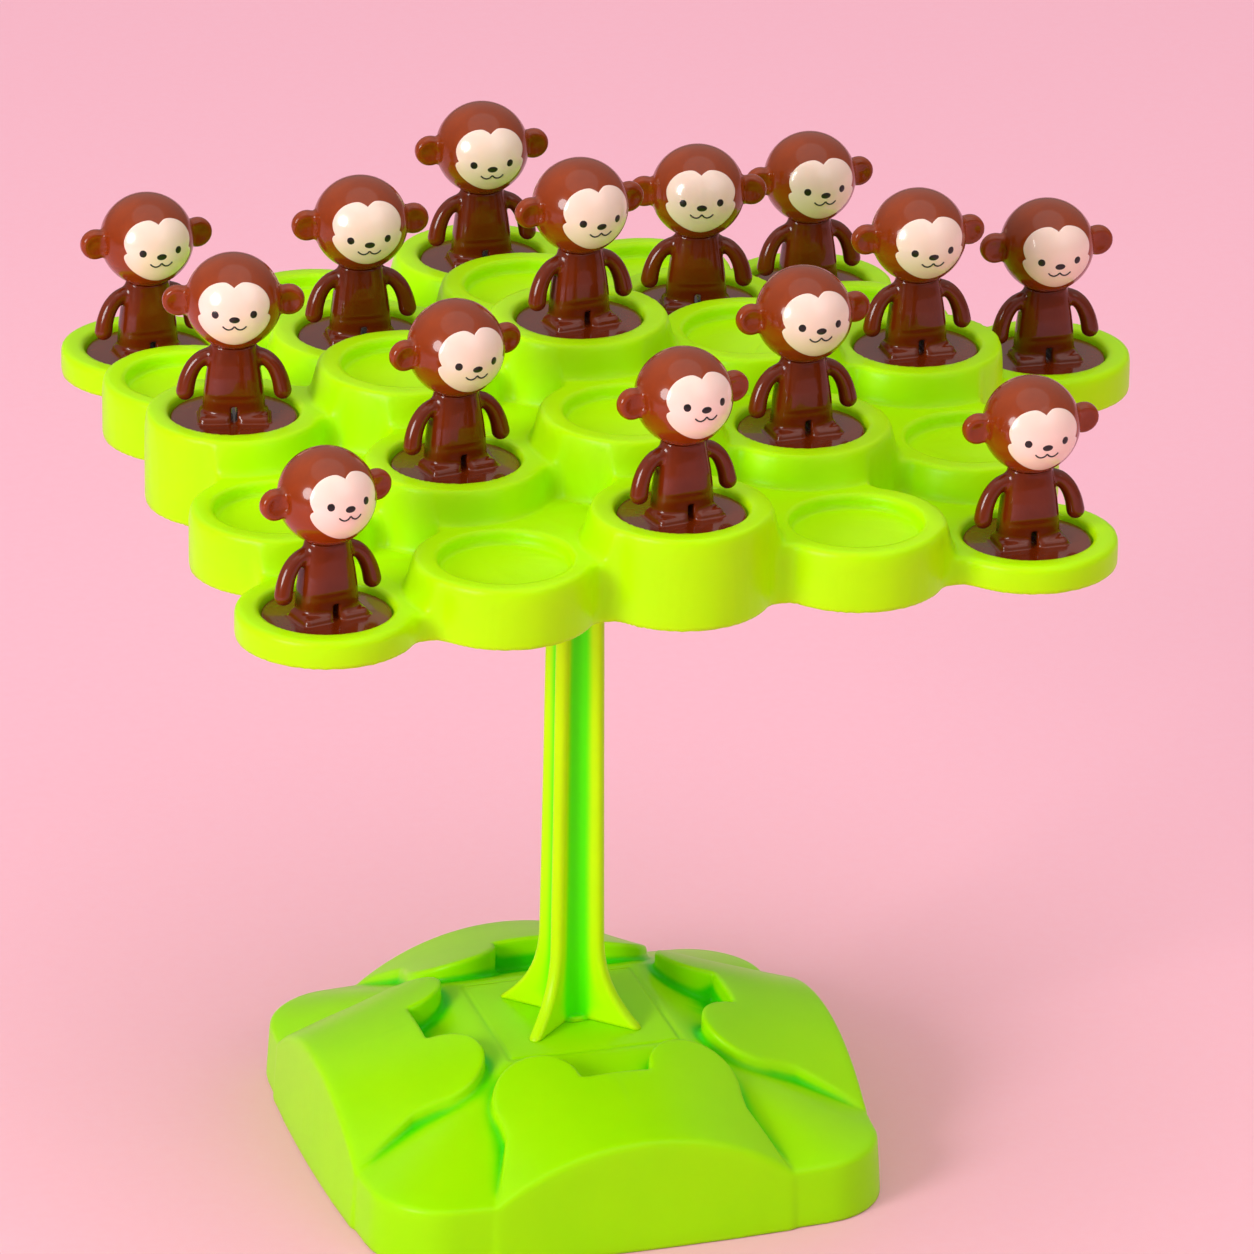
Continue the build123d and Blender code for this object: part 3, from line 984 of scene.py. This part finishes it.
def painted_shade_in_hollows(nodes, links, colour, hollow_shade, start, end):
    """Painted shade: mixes in a deeper colour where the form is hollow, where creases, flutes and recesses
    lie in shade.
    """
    hollow = nodes.new("ShaderNodeAttribute")
    hollow.attribute_name = "hollow"
    share = nodes.new("ShaderNodeMapRange")
    share.interpolation_type = "SMOOTHSTEP"
    share.inputs["From Min"].default_value = start
    share.inputs["From Max"].default_value = end
    links.new(hollow.outputs["Fac"], share.inputs["Value"])
    mix = nodes.new("ShaderNodeMix")
    mix.data_type = "RGBA"
    links.new(share.outputs["Result"], mix.inputs["Factor"])
    links.new(colour, mix.inputs["A"])
    mix.inputs["B"].default_value = (*hollow_shade, 1)
    return mix.outputs["Result"]


def green_plastic(name, light, dark, hollow_shade, shade_start, shade_end):
    """Translucent glossy moulded plastic with faint clouding, painted shade in its hollows and a satin
    micro-texture.
    """
    material, nodes, links, shader = new_material(name)
    clouds = noise(nodes, links, 38, 3, 0.55)
    colour = ramp(nodes, links, clouds.outputs["Fac"], [(0.3, dark), (0.7, light)]).outputs["Color"]
    # Painted shade mixed in where the form is hollow.
    colour = painted_shade_in_hollows(nodes, links, colour, hollow_shade, shade_start, shade_end)
    links.new(colour, shader.inputs["Base Color"])
    shader.inputs["Roughness"].default_value = 0.32
    shader.inputs["Specular IOR Level"].default_value = 0.12
    shader.inputs["Subsurface Weight"].default_value = 0.35
    shader.inputs["Subsurface Radius"].default_value = (0.6, 1.0, 0.08)
    shader.inputs["Subsurface Scale"].default_value = 0.004
    grain = noise(nodes, links, 900, 2, 0.5)
    relief = bump(nodes, links, grain.outputs["Fac"], 0.00003, 0.5)
    links.new(relief.outputs["Normal"], shader.inputs["Normal"])
    return material


def tray_plastic():
    # The third colour is painted shade for the cup recesses and the corners of the steps.
    light, dark, hollow_shade = (0.48, 0.92, 0.0), (0.44, 0.88, 0.0), (0.44, 0.77, 0.0)
    return green_plastic("tray_plastic", light, dark, hollow_shade, 0.55, 0.78)


def stand_plastic():
    # The third colour is painted shade for the creases and fillets between the base's hills and slopes.
    light, dark, hollow_shade = (0.38, 0.87, 0.0), (0.34, 0.82, 0.0), (0.05, 0.70, 0.0)
    return green_plastic("stand_plastic", light, dark, hollow_shade, 0.52, 0.69)


def trunk_plastic():
    # The third colour is painted shade for the flutes between the trunk's fins, a deeper green there.
    light, dark, hollow_shade = (0.60, 1.0, 0.0), (0.54, 0.97, 0.0), (0.10, 0.98, 0.0)
    return green_plastic("trunk_plastic", light, dark, hollow_shade, 0.36, 0.54)


def brown_plastic(name, light, dark):
    material, nodes, links, shader = new_material(name)
    clouds = noise(nodes, links, 160, 3, 0.55)
    colour = ramp(nodes, links, clouds.outputs["Fac"], [(0.3, dark), (0.7, light)])
    links.new(colour.outputs["Color"], shader.inputs["Base Color"])
    shader.inputs["Roughness"].default_value = 0.24
    shader.inputs["Specular IOR Level"].default_value = 0.14
    shader.inputs["Coat Weight"].default_value = 0.5
    shader.inputs["Coat Roughness"].default_value = 0.03
    waves = noise(nodes, links, 260, 2, 0.5)
    relief = bump(nodes, links, waves.outputs["Fac"], 0.00006, 0.4)
    links.new(relief.outputs["Normal"], shader.inputs["Normal"])
    return material


def body_plastic():
    return brown_plastic("body_plastic", (0.17, 0.021, 0.001), (0.13, 0.014, 0.001))


def head_plastic():
    return brown_plastic("head_plastic", (0.29, 0.040, 0.002), (0.23, 0.030, 0.002))


def face_paint():
    material, nodes, links, shader = new_material("face_paint")
    clouds = noise(nodes, links, 120, 3, 0.5)
    stops = [(0.3, (0.96, 0.69, 0.57)), (0.7, (0.98, 0.74, 0.63))]
    colour = ramp(nodes, links, clouds.outputs["Fac"], stops)
    links.new(colour.outputs["Color"], shader.inputs["Base Color"])
    shader.inputs["Roughness"].default_value = 0.22
    shader.inputs["Coat Weight"].default_value = 0.55
    shader.inputs["Coat Roughness"].default_value = 0.1
    shader.inputs["Subsurface Weight"].default_value = 0.15
    shader.inputs["Subsurface Radius"].default_value = (1.0, 0.5, 0.3)
    shader.inputs["Subsurface Scale"].default_value = 0.001
    return material


def feature_paint():
    material, nodes, links, shader = new_material("feature_paint")
    specks = noise(nodes, links, 700, 2, 0.5)
    stops = [(0.3, (0.006, 0.004, 0.004)), (0.7, (0.012, 0.008, 0.007))]
    colour = ramp(nodes, links, specks.outputs["Fac"], stops)
    links.new(colour.outputs["Color"], shader.inputs["Base Color"])
    shader.inputs["Roughness"].default_value = 0.3
    return material


def cap_plastic():
    material, nodes, links, shader = new_material("cap_plastic")
    clouds = noise(nodes, links, 200, 2, 0.5)
    stops = [(0.3, (0.78, 0.78, 0.74)), (0.7, (0.84, 0.84, 0.80))]
    colour = ramp(nodes, links, clouds.outputs["Fac"], stops)
    links.new(colour.outputs["Color"], shader.inputs["Base Color"])
    shader.inputs["Roughness"].default_value = 0.45
    return material


# Stage

photo_size = 1254
camera_azimuth = 343.03
camera_elevation = 23.2
camera_roll = 0.8
camera_pixels_per_share = 9373
aim_right = -10.306 * mm
aim_up = 36.279 * mm
camera_distance = 1852.5 * mm
aim_height = 151.66 * mm
sensor_width = 36.0
light_aim_height = 120 * mm
floor_half_width = 3000 * mm


def make_camera():
    a, e, roll = radians(camera_azimuth), radians(camera_elevation), radians(camera_roll)
    forward = Vector((-sin(a) * cos(e), cos(a) * cos(e), -sin(e)))
    right = Vector((cos(a), sin(a), 0))
    up = right.cross(forward)
    place = Vector((0, 0, aim_height))
    place -= right * aim_right + up * aim_up + forward * camera_distance
    right, up = right * cos(roll) + up * sin(roll), up * cos(roll) - right * sin(roll)
    data = bpy.data.cameras.new("photo_camera")
    data.sensor_width = sensor_width
    data.lens = camera_pixels_per_share / photo_size * sensor_width
    data.clip_end = 10
    camera = bpy.data.objects.new("photo_camera", data)
    rotation = Matrix((right, up, -forward)).transposed()
    camera.matrix_world = Matrix.Translation(place) @ rotation.to_4x4()
    bpy.context.scene.collection.objects.link(camera)
    bpy.context.scene.camera = camera


def area_light(name, azimuth, elevation, distance, size, power):
    a, e = radians(azimuth), radians(elevation)
    data = bpy.data.lights.new(name, "AREA")
    data.shape = "DISK"
    data.size = size
    data.energy = power
    lamp = bpy.data.objects.new(name, data)
    away = Vector((sin(a) * cos(e), -cos(a) * cos(e), sin(e)))
    lamp.location = Vector((0, 0, light_aim_height)) + away * distance
    lamp.rotation_euler = away.to_track_quat("Z", "Y").to_euler()
    bpy.context.scene.collection.objects.link(lamp)


def make_stage():
    half = floor_half_width
    points = [(-half, -half, 0), (half, -half, 0), (half, half, 0), (-half, half, 0)]
    mesh = bpy.data.meshes.new("floor")
    mesh.from_pydata(points, [], [(0, 1, 2, 3)])
    floor = make_piece("floor", mesh)
    material, nodes, links, shader = new_material("floor_paper")
    fibres = noise(nodes, links, 400, 3, 0.6)
    stops = [(0.3, (1.0, 0.515, 0.62)), (0.7, (1.0, 0.53, 0.64))]
    colour = ramp(nodes, links, fibres.outputs["Fac"], stops)
    links.new(colour.outputs["Color"], shader.inputs["Base Color"])
    shader.inputs["Roughness"].default_value = 0.85
    shader.inputs["Specular IOR Level"].default_value = 0.2
    floor.data.materials.append(material)
    area_light("key", azimuth=299, elevation=20, distance=1.4, size=0.56, power=12)
    area_light("fill", azimuth=30, elevation=35, distance=1.8, size=1.2, power=3)
    area_light("top", azimuth=0, elevation=80, distance=3.0, size=4.0, power=26)
    world = bpy.data.worlds.new("studio")
    world.use_nodes = True
    # A dome that is bright overhead and dim at the horizon
    nodes, links = world.node_tree.nodes, world.node_tree.links
    sky = nodes["Background"]
    sky.inputs["Color"].default_value = (1.0, 0.93, 0.94, 1)
    direction = nodes.new("ShaderNodeTexCoord")
    split = nodes.new("ShaderNodeSeparateXYZ")
    brightness = nodes.new("ShaderNodeMapRange")
    brightness.inputs["To Min"].default_value = 0.2
    brightness.inputs["To Max"].default_value = 0.88
    links.new(direction.outputs["Generated"], split.inputs["Vector"])
    links.new(split.outputs["Z"], brightness.inputs["Value"])
    links.new(brightness.outputs["Result"], sky.inputs["Strength"])
    bpy.context.scene.world = world
    bpy.context.scene.view_settings.view_transform = "Standard"


make_stage()
make_camera()
make_tray()
make_base()
make_trunk()
make_monkeys()
cap = frame["nodes"]["pivot_cap"]
cap.data.materials.clear()
cap.data.materials.append(cap_plastic())
